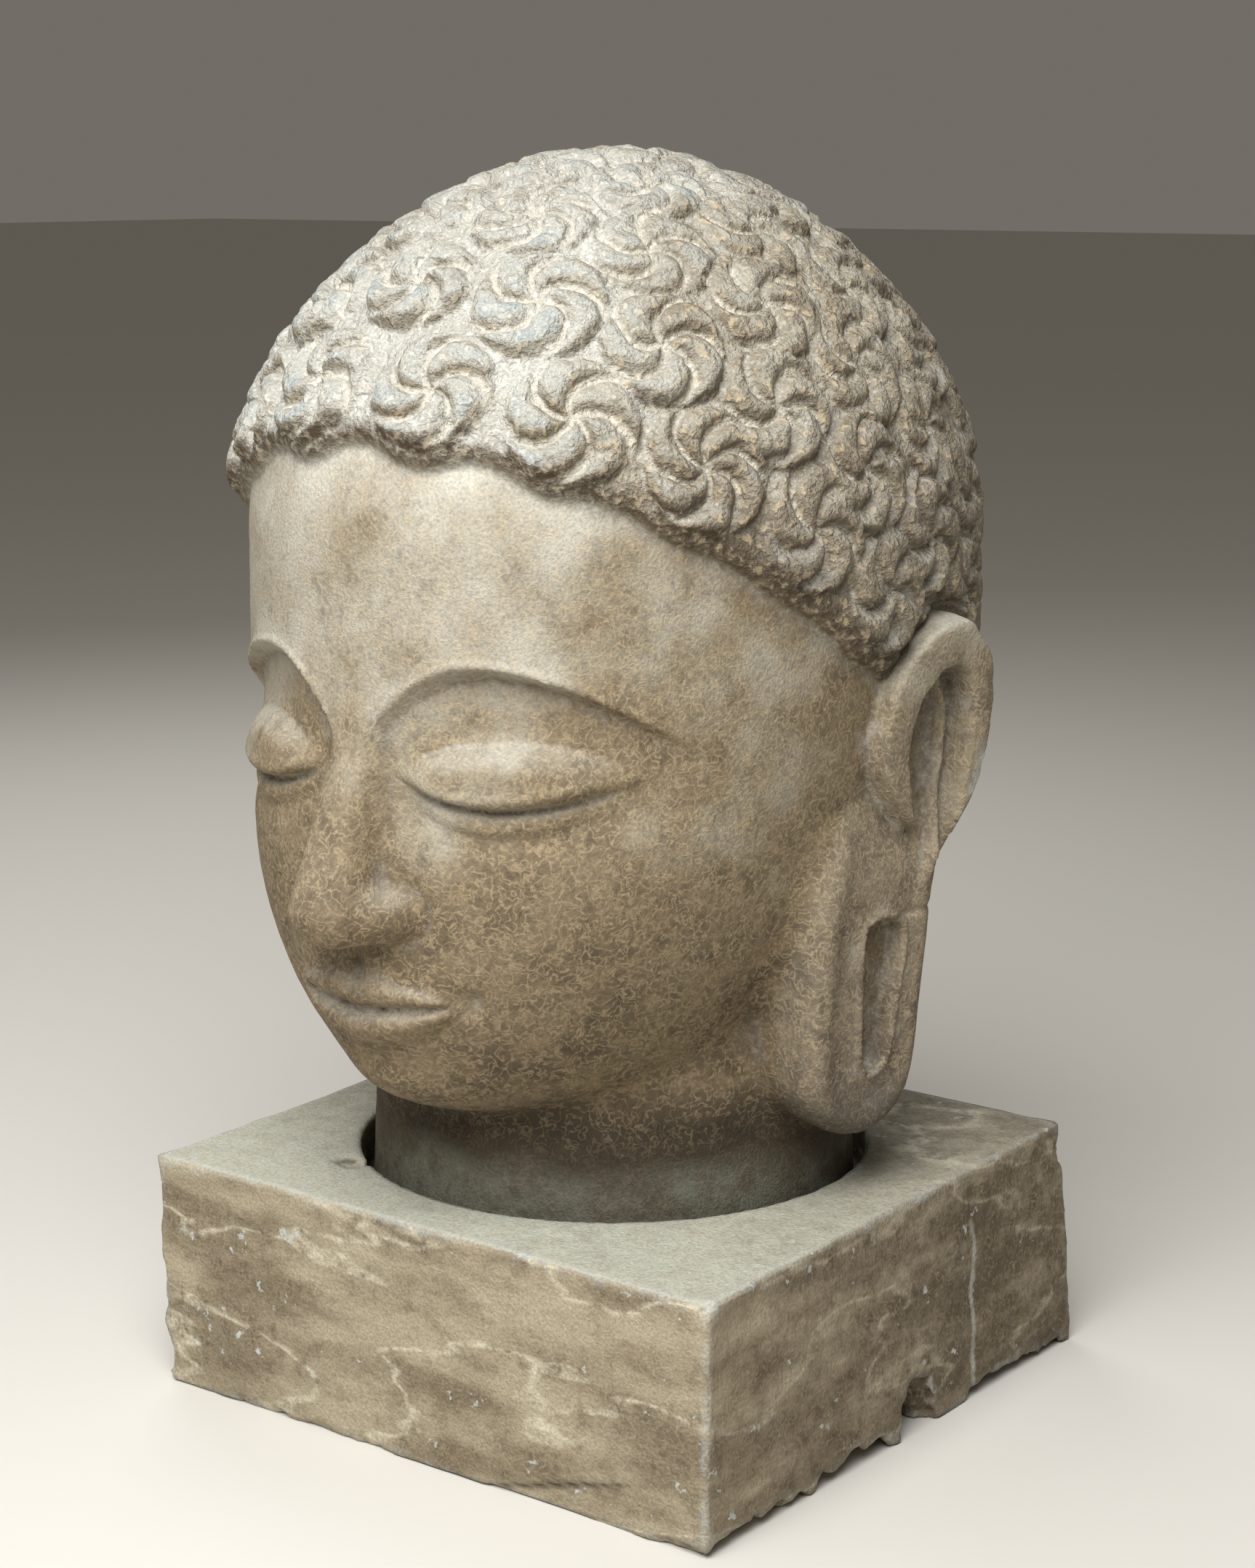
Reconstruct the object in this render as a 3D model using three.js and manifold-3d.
// A monumental Buddha head carved from one block of limestone, standing by its neck in the round
// socket of a rough squared stone plinth. Millimetres, +Z up, the face looks towards -Y.
// The origin is the centre of the plinth's underside.
import * as THREE from 'three';
import { mergeVertices } from 'three/addons/utils/BufferGeometryUtils.js';
import Module from 'manifold-3d';

const wasm = await Module();
wasm.setup();

// Plinth: a squared block with a blind round socket in its top.
const plinthWidth = 600;
const plinthDepth = 563;
const plinthHeight = 211;
const socketRadius = 228;
const socketDepth = 40;
const socketSides = 40;
const restGap = 0.3;
const footSpread = 11;

// Head, measured from the underside of its neck: the place on the plinth and the main heights.
const headShiftX = -10;
const headShiftY = 8;
const chinHeight = 114;
const hairlineHeight = 669;
const widestHeight = 600;
const crownRise = 298;
const skullHalfWidth = 286;
const skullHalfDepth = 336;
const crownRoundness = 1.85;
const jawRoundness = 2.5;
const skullCentreY = -3;
const faceLean = 110;
const neckRadius = 217;
const neckTopRadius = 206;
const neckTop = 260;

// Face on thirds: hairline to brow, brow to nose base, nose base to chin.
const third = (hairlineHeight - chinHeight) / 3;
const browHeight = hairlineHeight - third;
const noseBase = chinHeight + third;
const eyeHeight = browHeight - 0.3 * third;
const mouthHeight = noseBase - third / 3;
const eyeWidth = (2 * skullHalfWidth) / 4.6;
const eyeCentreX = 0.98 * eyeWidth;
const mouthHalfWidth = 0.55 * eyeWidth;
const relief = {
  orbit: -17,
  upperLid: 24,
  lowerLid: 11,
  upperLip: 13,
  lowerLip: 15,
  parting: -9,
  muzzle: 9,
  chin: 16,
  cheek: 7,
};

// Hair: rings of whorled curls around a pole that leans back from the crown.
const curlPoleTilt = THREE.MathUtils.degToRad(36);
const curlRadius = 49;
const curlRise = 18;
const curlGroove = 7;
const curlLobes = 5;
const curlSwirl = 0.4;
const curlRoot = 120;
const hairlineRing = 104;
const templeLift = 4;
const ringPitch = 16.8;
const ringCounts = [18, 19, 18, 16, 12, 7, 1];
const napeRing = 119;
const napeCount = 15;
const napeHeight = 250;

// Ears: long slabs with a rimmed shell above and a slit lobe below.
const earTopHeight = 541;
const earReach = 80;
const earThickness = 78;
const earInset = 220;
const earPivotY = 20;
const earPivotZ = 320;
const earFlare = THREE.MathUtils.degToRad(12);
const earLean = THREE.MathUtils.degToRad(4);
const earBevel = 14;
const shellDepth = 20;
const slitDepth = 14;

const stone = { color: 0x8c7f68, roughness: 0.82, metalness: 0 };
const plinthStone = { color: 0x8f8672, roughness: 0.86, metalness: 0 };

const clamp01 = (t) => Math.min(1, Math.max(0, t));

function ease(low, high, value) {
  const t = clamp01((value - low) / (high - low));
  return t * t * (3 - 2 * t);
}

const bump = (t) => Math.exp(-t * t);

function softMin(a, b, blend) {
  const h = Math.max(blend - Math.abs(a - b), 0) / blend;
  return Math.min(a, b) - (h * h * blend) / 4;
}

// The bare skull and jaw: an egg whose lower half leans forward to the chin.
function skull(x, y, z) {
  const upper = z >= widestHeight;
  const span = upper ? crownRise : widestHeight - chinHeight;
  const t = Math.abs(z - widestHeight) / span;
  const roundness = upper ? crownRoundness : jawRoundness;
  const dy = y - skullCentreY + (upper ? 0 : faceLean * t * t);
  const ring = Math.hypot(x / skullHalfWidth, dy / skullHalfDepth);
  const q = Math.pow(Math.pow(ring, roundness) + Math.pow(t, roundness), 1 / roundness);
  return (1 - 1 / Math.max(q, 1e-6)) * Math.hypot(x, dy, z - widestHeight);
}

function neck(x, y, z) {
  const radius = THREE.MathUtils.lerp(neckRadius, neckTopRadius, clamp01(z / neckTop));
  return Math.max(Math.hypot(x, y) - radius, -z, z - neckTop);
}

function ball(x, y, z, radiusX, radiusY, radiusZ) {
  const k = Math.hypot(x / radiusX, y / radiusY, z / radiusZ);
  return (k - 1) * Math.min(radiusX, radiusY, radiusZ);
}

// The nose ridge is a round cone from the brow to the tip, and the wings are balls beside the tip.
function nose(x, y, z) {
  const rootZ = browHeight - 12;
  const tipZ = noseBase + 26;
  const t = clamp01((rootZ - z) / (rootZ - tipZ));
  const ridgeY = THREE.MathUtils.lerp(-322, -368, t);
  const radius = THREE.MathUtils.lerp(21, 33, t);
  const ridge = Math.hypot(x, y - ridgeY, z - THREE.MathUtils.lerp(rootZ, tipZ, t)) - radius;
  const wing = ball(Math.abs(x) - 36, y + 340, z - noseBase - 20, 27, 30, 23);
  return softMin(ridge, wing, 16);
}

// Low forms of the face, as height above the egg: orbits, lids, lips, cheeks and chin.
function faceRelief(x, z) {
  const side = Math.abs(x);
  const u = (side - eyeCentreX) / eyeWidth;
  const browLine = browHeight + 30 - 150 * u * u * (u > 0 ? 0.7 : 1);
  const underBrow = ease(browLine + 3, browLine - 16, z) * ease(eyeHeight - 62, eyeHeight, z);
  const orbit = relief.orbit * underBrow * bump(u / 0.78);
  const slit = eyeHeight - 16 + 60 * u * u;
  const lidReach = Math.hypot(u / 0.52, (z - eyeHeight - 2) / 28);
  const upperLid = relief.upperLid * bump(lidReach * lidReach) * ease(slit - 4, slit + 5, z);
  const bagReach = Math.hypot(u / 0.5, (z - slit + 4) / 16);
  const lowerLid = relief.lowerLid * bump(bagReach * bagReach) * ease(slit + 1, slit - 8, z);
  const lipWidth = Math.sqrt(clamp01(1 - Math.pow(x / (mouthHalfWidth * 1.08), 2)));
  const upperLip = relief.upperLip * bump((z - mouthHeight - 13) / 11) * lipWidth;
  const lowerLip = relief.lowerLip * bump((z - mouthHeight + 15) / 12) * lipWidth;
  const partingEnd = ease(mouthHalfWidth + 12, mouthHalfWidth - 20, side);
  const parting = relief.parting * bump((z - mouthHeight) / 5) * partingEnd;
  const muzzle = relief.muzzle * bump(Math.hypot(x / 88, (z - mouthHeight - 4) / 58));
  const chin = relief.chin * bump(Math.hypot(x / 62, (z - chinHeight - 50) / 34));
  const cheek = relief.cheek * bump(Math.hypot((side - 150) / 80, (z - noseBase - 22) / 80));
  return orbit + upperLid + lowerLid + upperLip + lowerLip + parting + muzzle + chin + cheek;
}

// Negative inside the bare head, positive outside.
function bareHead(x, y, z) {
  const front = ease(-120, -230, y);
  const face = skull(x, y, z) - (front > 0 ? front * faceRelief(x, z) : 0);
  return softMin(softMin(face, nose(x, y, z), 26), neck(x, y, z), 16);
}

// The point where a ray from inside the head leaves it.
function castOut(from, direction) {
  let inside = 0.1 * widestHeight;
  let outside = 1.1 * widestHeight;
  for (let halving = 0; halving < 34; halving += 1) {
    const middle = (inside + outside) / 2;
    const point = from.clone().addScaledVector(direction, middle);
    if (bareHead(point.x, point.y, point.z) < 0) inside = middle;
    else outside = middle;
  }
  return from.clone().addScaledVector(direction, (inside + outside) / 2);
}

function surfaceNormal(point) {
  const step = 2;
  const slope = (axis) => {
    const ahead = point.clone().addScaledVector(axis, step);
    const behind = point.clone().addScaledVector(axis, -step);
    return bareHead(ahead.x, ahead.y, ahead.z) - bareHead(behind.x, behind.y, behind.z);
  };
  const axes = [new THREE.Vector3(1, 0, 0), new THREE.Vector3(0, 1, 0), new THREE.Vector3(0, 0, 1)];
  return new THREE.Vector3(...axes.map(slope)).normalize();
}

function meshFrom(points, triangles) {
  const geometry = new THREE.BufferGeometry().setFromPoints(points);
  geometry.setIndex(triangles);
  return geometry;
}

// Positions alone, with the vertices that neighbouring faces share made one.
function joined(geometry) {
  const plain = geometry.clone();
  plain.deleteAttribute('normal');
  plain.deleteAttribute('uv');
  return mergeVertices(plain, 1e-4);
}

function solidFrom(geometry) {
  const merged = joined(geometry);
  const vertProperties = merged.attributes.position.array;
  const triVerts = new Uint32Array(merged.index.array);
  return new wasm.Manifold(new wasm.Mesh({ numProp: 3, vertProperties, triVerts }));
}

// The same geometry on the other side of the head, with its faces still pointing out.
function mirrored(geometry) {
  const twin = joined(geometry).scale(-1, 1, 1);
  const order = twin.index.array;
  for (let i = 0; i < order.length; i += 3) [order[i], order[i + 1]] = [order[i + 1], order[i]];
  return twin;
}

function geometryFrom(solid) {
  const mesh = solid.getMesh();
  const geometry = new THREE.BufferGeometry();
  geometry.setAttribute('position', new THREE.BufferAttribute(mesh.vertProperties, 3));
  geometry.setIndex(new THREE.BufferAttribute(mesh.triVerts, 1));
  geometry.computeVertexNormals();
  return geometry;
}

// Closed skin through rows of rings, with a point at each end. A ring may have twice the points of the
// one before it.
function skinRings(first, rings, last) {
  const points = [first, ...rings.flat(), last];
  const starts = rings.map((_, row) => 1 + rings.slice(0, row).reduce((sum, ring) => sum + ring.length, 0));
  const at = (row, column) => starts[row] + (column % rings[row].length);
  const triangles = [];
  rings.forEach((ring, row) => {
    for (let column = 0; column < ring.length; column += 1) {
      const here = at(row, column);
      const beside = at(row, column + 1);
      if (row === 0) triangles.push(0, here, beside);
      if (row === rings.length - 1) {
        triangles.push(points.length - 1, beside, here);
        continue;
      }
      const share = rings[row + 1].length / ring.length;
      const below = [0, 1, 2].map((step) => at(row + 1, column * share + step));
      triangles.push(here, below[0], below[1], here, below[1], beside);
      if (share === 2) triangles.push(beside, below[1], below[2]);
    }
  });
  return meshFrom(points, triangles);
}

// Rows of the bare head as elevations seen from its core, close together over the features.
function faceElevations(coreHeight) {
  const stations = [
    [hairlineHeight + 14, 3], [browHeight + 36, 3], [browHeight - 12, 3], [eyeHeight + 2, 3],
    [eyeHeight - 30, 3], [noseBase + 34, 3], [noseBase - 12, 2], [mouthHeight + 18, 3],
    [mouthHeight - 22, 2], [mouthHeight - 52, 2], [chinHeight + 14, 0],
  ];
  const rows = [];
  stations.forEach(([height, steps], i) => {
    for (let s = 0; s < Math.max(steps, 1); s += 1) {
      const next = stations[Math.min(i + 1, stations.length - 1)][0];
      const z = THREE.MathUtils.lerp(height, next, steps ? s / steps : 0);
      rows.push(Math.atan((z - coreHeight) / skullHalfDepth));
    }
  });
  return rows;
}

function bareHeadGeometry() {
  const core = new THREE.Vector3(0, -10, 400);
  const face = faceElevations(core.z);
  const spread = (from, to, count) => Array.from({ length: count }, (_, i) => (
    THREE.MathUtils.lerp(from, to, (i + 0.5) / count)
  ));
  const neckEdge = -Math.atan(core.z / neckRadius);
  const scalpRows = 5;
  const neckRows = 3;
  const underEdge = 0.002;
  const elevations = [
    ...spread(Math.PI / 2 - 0.06, face[0] + 0.03, scalpRows), ...face,
    ...spread(face.at(-1), neckEdge, neckRows), neckEdge - underEdge,
  ];
  const faceTurn = THREE.MathUtils.degToRad(84);
  const frontColumns = 15;
  const backColumns = 4;
  const half = [];
  for (let i = 0; i <= frontColumns; i += 1) {
    const t = i / frontColumns;
    half.push(faceTurn * (0.5 * t + 0.5 * t * t));
  }
  for (let i = 1; i <= backColumns; i += 1) {
    half.push(THREE.MathUtils.lerp(faceTurn, Math.PI, i / backColumns));
  }
  const turns = [...half, ...half.slice(1, -1).reverse().map((turn) => -turn)];
  const rings = elevations.map((elevation, row) => {
    const columns = row < scalpRows ? turns.filter((_, i) => i % 2 === 0) : turns;
    const flat = Math.cos(elevation);
    return columns.map((turn) => castOut(core, new THREE.Vector3(
      Math.sin(turn) * flat,
      -Math.cos(turn) * flat,
      Math.sin(elevation),
    )));
  });
  const crown = castOut(core, new THREE.Vector3(0, 0, 1));
  const underside = new THREE.Vector3(core.x, core.y, 0);
  return skinRings(crown, rings, underside);
}

// Where the curls sit: the middle of each and its outward normal.
function curlSeeds() {
  const centre = new THREE.Vector3(0, skullCentreY, widestHeight);
  const pole = new THREE.Vector3(0, Math.sin(curlPoleTilt), Math.cos(curlPoleTilt));
  const front = new THREE.Vector3(0, -Math.cos(curlPoleTilt), Math.sin(curlPoleTilt));
  const side = new THREE.Vector3(1, 0, 0);
  const rings = ringCounts.map((count, row) => ({ reach: hairlineRing - row * ringPitch, count, row }));
  rings.at(-1).reach = 0;
  rings.push({ reach: napeRing, count: napeCount, row: 1 });
  const seeds = [];
  for (const { reach, count, row } of rings) {
    for (let i = 0; i < count; i += 1) {
      const turn = (2 * Math.PI * (i + (row % 2 ? 0 : 0.5))) / count;
      const lift = row === 0 ? templeLift * Math.sin(turn) ** 2 : 0;
      const lean = THREE.MathUtils.degToRad(reach - lift);
      const direction = pole.clone().multiplyScalar(Math.cos(lean))
        .addScaledVector(side, Math.sin(lean) * Math.sin(turn))
        .addScaledVector(front, Math.sin(lean) * Math.cos(turn));
      const middle = castOut(centre, direction);
      const underEar = middle.z < earTopHeight - curlRadius && middle.y > -earReach && middle.y < earReach;
      const belowHair = (reach > hairlineRing && middle.y < earReach) || middle.z < napeHeight;
      if (!underEar && !belowHair) seeds.push({ middle, normal: surfaceNormal(middle) });
    }
  }
  return seeds;
}

// One curl: a low boss of comma lobes that swirl clockwise, undercut and rooted in the skull.
function curlGeometry({ middle, normal }) {
  const east = new THREE.Vector3(0, 0, 1).cross(normal);
  if (east.length() < 1e-3) east.set(1, 0, 0);
  east.normalize();
  const north = normal.clone().cross(east);
  const place = (radius, turn, height) => middle.clone()
    .addScaledVector(east, radius * Math.cos(turn))
    .addScaledVector(north, radius * Math.sin(turn))
    .addScaledVector(normal, height);
  const rim = Array.from({ length: 2 * curlLobes }, (_, i) => {
    const lobe = (2 * Math.PI * Math.floor(i / 2)) / curlLobes;
    return i % 2
      ? place(curlRadius, lobe + curlSwirl, curlRise - 4)
      : place(curlRadius * 0.82, lobe, curlRise - 4 - curlGroove);
  });
  return skinRings(place(0, 0, curlRise), [rim], place(0, 0, -curlRoot));
}

// An outline drawn in the ear's own plane: across is towards the back of the head, up is up.
function closedOutline(points) {
  const curve = new THREE.SplineCurve(points.map(([across, up]) => new THREE.Vector2(across, up)));
  return new THREE.Shape(curve.getPoints(Math.round(points.length * 1.7)).slice(0, -1));
}

// A slab of the outline's shape, its face towards +X.
function slab(outline, thickness, bevel) {
  const geometry = new THREE.ExtrudeGeometry(outline, {
    depth: thickness - 2 * bevel,
    bevelEnabled: bevel > 0,
    bevelThickness: bevel,
    bevelSize: bevel,
    bevelOffset: -bevel,
    bevelSegments: 1,
    curveSegments: 6,
  });
  geometry.translate(0, 0, bevel);
  geometry.applyMatrix4(new THREE.Matrix4().set(0, 0, 1, 0, 1, 0, 0, 0, 0, 1, 0, 0, 0, 0, 0, 1));
  return geometry;
}

// A long ear: the slab with its bevelled edge, less the shell's hollow and the slit in the lobe.
function earSolid(otherSide) {
  const outline = closedOutline([
    [76, earTopHeight], [117, 486], [105, 402], [74, 330], [67, 240], [56, 132], [2, 98], [-60, 136],
    [-68, 250], [-54, 340], [-24, 420], [8, 505], [76, earTopHeight],
  ]);
  const shell = closedOutline([
    [70, 506], [88, 470], [78, 400], [60, 340], [46, 380], [38, 440], [48, 490], [70, 506],
  ]);
  const slit = closedOutline([
    [-14, 286], [32, 282], [30, 220], [22, 165], [4, 158], [-8, 178], [-14, 240], [-14, 286],
  ]);
  const placed = (geometry, inset) => {
    geometry.translate(inset - earInset, -earPivotY, -earPivotZ);
    geometry.rotateY(earLean);
    geometry.rotateZ(-earFlare);
    geometry.translate(earInset, earPivotY, earPivotZ);
    return solidFrom(otherSide ? mirrored(geometry) : geometry);
  };
  const face = earInset + earThickness;
  return placed(slab(outline, earThickness, earBevel), earInset)
    .subtract(placed(slab(shell, 2 * shellDepth, 0), face - shellDepth))
    .subtract(placed(slab(slit, 2 * slitDepth, 0), face - slitDepth));
}

function headGeometry() {
  const curls = curlSeeds().map((seed) => solidFrom(curlGeometry(seed)));
  return geometryFrom(wasm.Manifold.union([
    solidFrom(bareHeadGeometry()), earSolid(false), earSolid(true), ...curls,
  ]));
}

function wedge(sizeX, sizeY, sizeZ, place, turn) {
  const geometry = new THREE.BoxGeometry(sizeX, sizeY, sizeZ);
  geometry.applyMatrix4(new THREE.Matrix4().compose(
    new THREE.Vector3(...place),
    new THREE.Quaternion().setFromEuler(new THREE.Euler(...turn)),
    new THREE.Vector3(1, 1, 1),
  ));
  return solidFrom(geometry);
}

// The block with its socket, its broken lower corner, the notch in its side and its ragged lower edges.
function plinthGeometry() {
  const block = new THREE.BoxGeometry(plinthWidth, plinthDepth, plinthHeight);
  block.translate(0, 0, plinthHeight / 2);
  const corner = block.attributes.position;
  for (let i = 0; i < corner.count; i += 1) {
    const rearFoot = corner.getX(i) > 0 && corner.getY(i) > 0 && corner.getZ(i) < 1;
    if (rearFoot) corner.setXYZ(i, corner.getX(i) + footSpread, corner.getY(i) + footSpread, 0);
  }
  const socket = new THREE.CylinderGeometry(socketRadius, socketRadius, socketDepth * 2, socketSides);
  socket.rotateX(Math.PI / 2);
  socket.translate(headShiftX, headShiftY, plinthHeight);
  let plinth = solidFrom(block).subtract(solidFrom(socket));
  const sideX = plinthWidth / 2;
  const frontY = -plinthDepth / 2;
  const chips = [
    wedge(60, 42, 70, [sideX + 4, 24, 6], [0.25, 0, 0.5]),
    wedge(30, 30, 140, [-sideX - 6, frontY - 6, 60], [0, 0.06, Math.PI / 4]),
    wedge(26, 240, 26, [sideX + 2, frontY + 110, 0], [0, Math.PI / 4, 0.03]),
    wedge(200, 16, 16, [-sideX + 120, frontY - 1, 0], [Math.PI / 4, 0, 0]),
    wedge(20, 180, 20, [sideX + 2, -frontY - 80, 0], [0, Math.PI / 4, -0.03]),
    wedge(30, 30, 60, [sideX + 8, -frontY + 8, plinthHeight - 20], [0, 0, Math.PI / 4]),
  ];
  for (const chip of chips) plinth = plinth.subtract(chip);
  return geometryFrom(plinth);
}

function pieceMesh(name, geometry, look) {
  const mesh = new THREE.Mesh(geometry, new THREE.MeshStandardMaterial(look));
  mesh.name = name;
  return mesh;
}

const statue = new THREE.Group();
statue.add(pieceMesh('plinth', plinthGeometry(), plinthStone));

const headGroup = new THREE.Group();
headGroup.position.set(headShiftX, headShiftY, plinthHeight - socketDepth + restGap);
headGroup.add(pieceMesh('buddha_head', headGeometry(), stone));
statue.add(headGroup);

export default statue;
